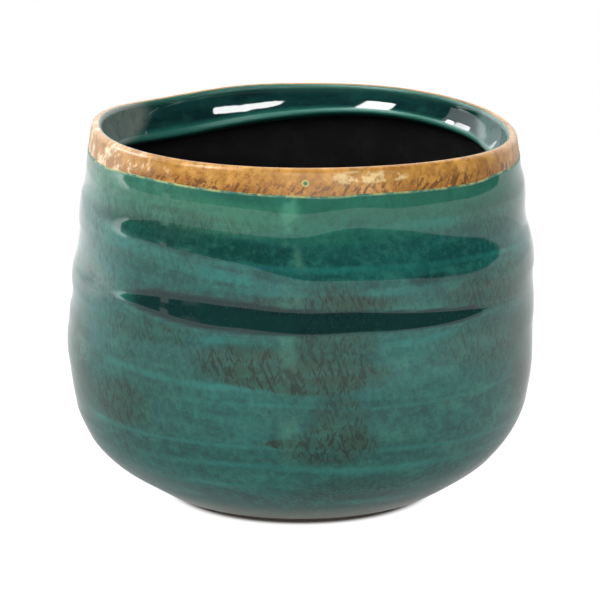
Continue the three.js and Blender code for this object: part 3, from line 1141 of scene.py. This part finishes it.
def pads_tree():
    """Felt pads: a round, slightly domed disc set out evenly on the foot ring."""
    sockets = [
        ("Base", "Geometry", None),
        ("Pad radius", "Float", None),
        ("Pad thickness", "Float", None),
        ("Ring radius", "Float", None),
        ("Pads", "Int", None),
        ("First bearing", "Float", None),
        ("Material", "Material", None),
    ]
    tree, nodes, inputs = geometry_tree("Felt pads", sockets)

    rows = len(PAD_SPREADS)
    mesh, row, bearing = grid_round(nodes, PAD_SIDES, rows)
    share = nodes.math("DIVIDE", row, rows - 1)
    spread, level = (
        nodes.curve(share, [(index / (rows - 1), value) for index, value in enumerate(values)])
        for values in (PAD_SPREADS, PAD_LEVELS)
    )
    place = nodes.vector(
        "ADD",
        nodes.scaled(outwards_at(nodes, bearing), nodes.times(spread, inputs["Pad radius"])),
        nodes.combine(0, 0, nodes.times(level, inputs["Pad thickness"])),
    )
    pad = nodes.add("GeometryNodeSetPosition", {"Geometry": mesh, "Position": place})
    pad = nodes.add("GeometryNodeMergeByDistance", {"Geometry": pad, "Distance": JOIN_DISTANCE})
    values = {"Vertices": inputs["Pads"], "Radius": inputs["Ring radius"]}
    circle = nodes.add("GeometryNodeMeshCircle", values)
    turned = nodes.combine(0, 0, nodes.minus(inputs["First bearing"], math.pi / 2))
    circle = nodes.add("GeometryNodeTransform", {"Geometry": circle, "Rotation": turned})
    pads = nodes.add("GeometryNodeInstanceOnPoints", {"Points": circle, "Instance": pad})
    finished(nodes, pads, inputs["Material"])
    return tree


def felt_pads_piece():
    low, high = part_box("felt_pad_1")
    centre = Vector(((low[0] + high[0]) / 2, (low[1] + high[1]) / 2))
    values = {
        "Pad radius": (high[0] - low[0]) / 2,
        "Pad thickness": high[2] - low[2],
        "Ring radius": centre.length,
        "Pads": 4,
        "First bearing": math.atan2(centre.x, -centre.y),
        "Material": pressed_felt(),
    }
    return made_plain("felt_pads", base_object("pads_base", [(0, 0, 0)]), pads_tree(), values)


# ======== Studio ========


def studio_floor():
    mesh = bpy.data.meshes.new("studio_floor")
    turns = [2 * math.pi * index / TABLE_SIDES for index in range(TABLE_SIDES)]
    rim = [(TABLE_RADIUS * math.cos(turn), TABLE_RADIUS * math.sin(turn), 0) for turn in turns]
    mesh.from_pydata(rim, [], [range(TABLE_SIDES)])
    floor = bpy.data.objects.new("studio_floor", mesh)
    bpy.context.scene.collection.objects.link(floor)
    material, nodes = empty_material("studio_floor")
    paper = nodes.add("ShaderNodeBsdfDiffuse", {"Color": grey(0.8)})
    rays = nodes.add("ShaderNodeLightPath").outputs
    place = nodes.add("ShaderNodeTexCoord").outputs["Object"]
    far = nodes.add("ShaderNodeVectorMath", {0: place}, operation="LENGTH").outputs["Value"]
    # what the gloss mirrors is darker near the foot: a painted shadow
    mirrored = FLOOR_MIRRORED
    for near, away, gain in FLOOR_GAINS:
        mirrored = nodes.math("MULTIPLY_ADD", nodes.rise(far, near, away, smooth=False), gain, mirrored)
    dimmed = nodes.minus(mirrored, FLOOR_SEEN)
    brightness = nodes.math("MULTIPLY_ADD", rays["Is Glossy Ray"], dimmed, FLOOR_SEEN)
    glow = nodes.add("ShaderNodeEmission", {"Color": grey(1), "Strength": brightness})
    clear = nodes.add("ShaderNodeBsdfTransparent")
    seen_lit = nodes.times(rays["Is Camera Ray"], nodes.rise(far, *SHADOW_EDGE))
    lit = nodes.math("MAXIMUM", nodes.times(seen_lit, LIT_SHARE), rays["Is Glossy Ray"])
    seen = nodes.add("ShaderNodeMixShader", {0: lit, 1: paper, 2: glow})
    under = nodes.add("ShaderNodeNewGeometry").outputs["Backfacing"]
    surface = nodes.add("ShaderNodeMixShader", {0: under, 1: seen, 2: clear})
    nodes.add("ShaderNodeOutputMaterial", {"Surface": surface})
    mesh.materials.append(material)


# What the gloss mirrors: the lights, each as its bearings, its heights (the sine of its
# elevation), how much it rises for each degree to the right, and its brightness; and low pale
# uprights in the dark room in front of the pot
MIRRORED = (
    ((-1, 35.5), (0.36, 0.455), -0.0045, 22),
    ((-51.5, -33), (0.5, 0.97), 0, 24),
    ((-103, -96), (0.965, 1.2), 0.0052, 26),
    ((-122, -104), (0.945, 1.2), 0.0052, 13),
)
UPRIGHTS = ((-64, -58, 1.0), (-49, -40, 0.35))
UPRIGHT_TOP = 0.055
LIGHT_SOFTNESS = (3, 0.03)
ROOM_BEARINGS = (-100, 119)
ROOM_LEVEL = 0.07
ROOM_CORNER = 0.07
ROOM_TONE = 0.012

# Round the room: its brightness below and above the heights, that of the strip at the room's
# left end, and what lights the pot
SURROUND_HEIGHTS = (-0.05, 0.12)
SURROUND_TONES = (0.9, 1.6)
STRIP_TONE = 3.2
PLAIN_LIGHT = 0.72


def within(nodes, value, low, high, soft):
    """1 between low and high, 0 outside, with soft edges."""
    rising = nodes.rise(value, low - soft, low + soft)
    return nodes.times(rising, nodes.rise(value, high + soft, high - soft))


def studio_surround():
    """White all round, but for the dark room beyond the table, in front of the pot."""
    world = bpy.data.worlds.new("studio")
    bpy.context.scene.world = world
    world.use_nodes = True
    world.node_tree.nodes.clear()
    nodes = Nodes(world.node_tree)
    direction = nodes.add("ShaderNodeTexCoord").outputs["Generated"]
    turn = bearing_of(nodes, direction)
    z = nodes.separate(direction)[2]

    # the room's ends are round
    off_level = nodes.math("DIVIDE", nodes.minus(z, ROOM_LEVEL), ROOM_CORNER)
    corner = nodes.times(nodes.math("MINIMUM", nodes.times(off_level, off_level), 1), 7)
    left = nodes.minus(nodes.minus(turn, corner), ROOM_BEARINGS[0])
    right = nodes.minus(nodes.plus(turn, corner), ROOM_BEARINGS[1])
    dark = nodes.times(nodes.rise(left, -1, 1), nodes.rise(right, 1, -1), nodes.rise(z, -0.004, 0.004))

    strip = nodes.times(nodes.rise(left, -16, -1), nodes.rise(left, 1, -1))
    strip = nodes.times(strip, within(nodes, z, *SURROUND_HEIGHTS, 0.04))
    low_tone, high_tone = SURROUND_TONES
    white = nodes.mix(nodes.rise(z, *SURROUND_HEIGHTS), grey(low_tone), grey(high_tone))
    white = nodes.mix(strip, white, grey(STRIP_TONE))
    room = grey(ROOM_TONE)
    for start, end, brightness in UPRIGHTS:
        below_top = nodes.rise(z, UPRIGHT_TOP + 0.01, UPRIGHT_TOP)
        shape = nodes.times(within(nodes, turn, start, end, 1.0), below_top)
        room = nodes.mix(shape, room, grey(brightness))
    mirrored = nodes.mix(dark, white, room)
    soft_sides, soft_ends = LIGHT_SOFTNESS
    for (start, end), (low, high), slant, brightness in MIRRORED:
        level = nodes.math("MULTIPLY_ADD", turn, -slant, z)
        sides = within(nodes, turn, start, end, soft_sides)
        shape = nodes.times(sides, within(nodes, level, low, high, soft_ends))
        mirrored = nodes.mix(nodes.rise(shape, 0.4, 0.6), mirrored, grey(brightness))
    rays = nodes.add("ShaderNodeLightPath")
    light = nodes.mix(rays.outputs["Is Glossy Ray"], grey(PLAIN_LIGHT), mirrored)
    light = nodes.mix(rays.outputs["Is Camera Ray"], light, grey(1))
    back = nodes.add("ShaderNodeBackground", {"Color": light, "Strength": 1.0})
    nodes.add("ShaderNodeOutputWorld", {"Surface": back})


def softbox(name, bearing, elevation, distance, width, height, power):
    light = bpy.data.lights.new(name, "AREA")
    light.shape = "RECTANGLE"
    light.size = width
    light.size_y = height
    light.energy = power
    lamp = bpy.data.objects.new(name, light)
    lamp.visible_glossy = False
    bearing, elevation = math.radians(bearing), math.radians(elevation)
    offset = Vector((
        math.sin(bearing) * math.cos(elevation),
        -math.cos(bearing) * math.cos(elevation),
        math.sin(elevation),
    ))
    lamp.location = AIM + offset * distance
    lamp.rotation_euler = offset.to_track_quat("Z", "Y").to_euler()
    bpy.context.scene.collection.objects.link(lamp)


def studio_camera():
    lens = bpy.data.cameras.new("camera")
    lens.lens = PIXELS_PER_METRE * CAMERA_DISTANCE / IMAGE_WIDTH * lens.sensor_width
    lens.clip_end = 50
    camera = bpy.data.objects.new("camera", lens)
    back = Vector((0, -math.cos(CAMERA_ELEVATION), math.sin(CAMERA_ELEVATION)))
    camera.location = AIM + back * CAMERA_DISTANCE
    camera.rotation_euler = back.to_track_quat("Z", "Y").to_euler()
    bpy.context.scene.collection.objects.link(camera)
    bpy.context.scene.camera = camera


TURNING = turning_tree()

studio_camera()
for make, nodes_replaced, finish in (
    (outer_glaze_piece, ("outer_glaze",), "teal_glaze"),
    (rim_band_piece, ("rim_band",), "ochre_glaze"),
    (collar_piece, ("collar_glaze",), "teal_glaze"),
    (black_inside_piece, ("inner_sealer",), "black_sealer"),
    (clay_piece, ("clay_body",), "stoneware"),
    (felt_pads_piece, tuple(f"felt_pad_{number}" for number in (1, 2, 3, 4)), "felt"),
):
    piece = make()
    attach(piece, "root")
    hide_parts(*nodes_replaced)

studio_floor()
studio_surround()
softbox("softbox_left", -49, 54, 1.2, 0.5, 0.45, 6)
softbox("softbox_right", 34, 54, 1.2, 0.9, 0.45, 9)
softbox("softbox_side", -92, 48, 1.2, 0.5, 0.5, 7)

bpy.context.scene.view_settings.view_transform = "Standard"
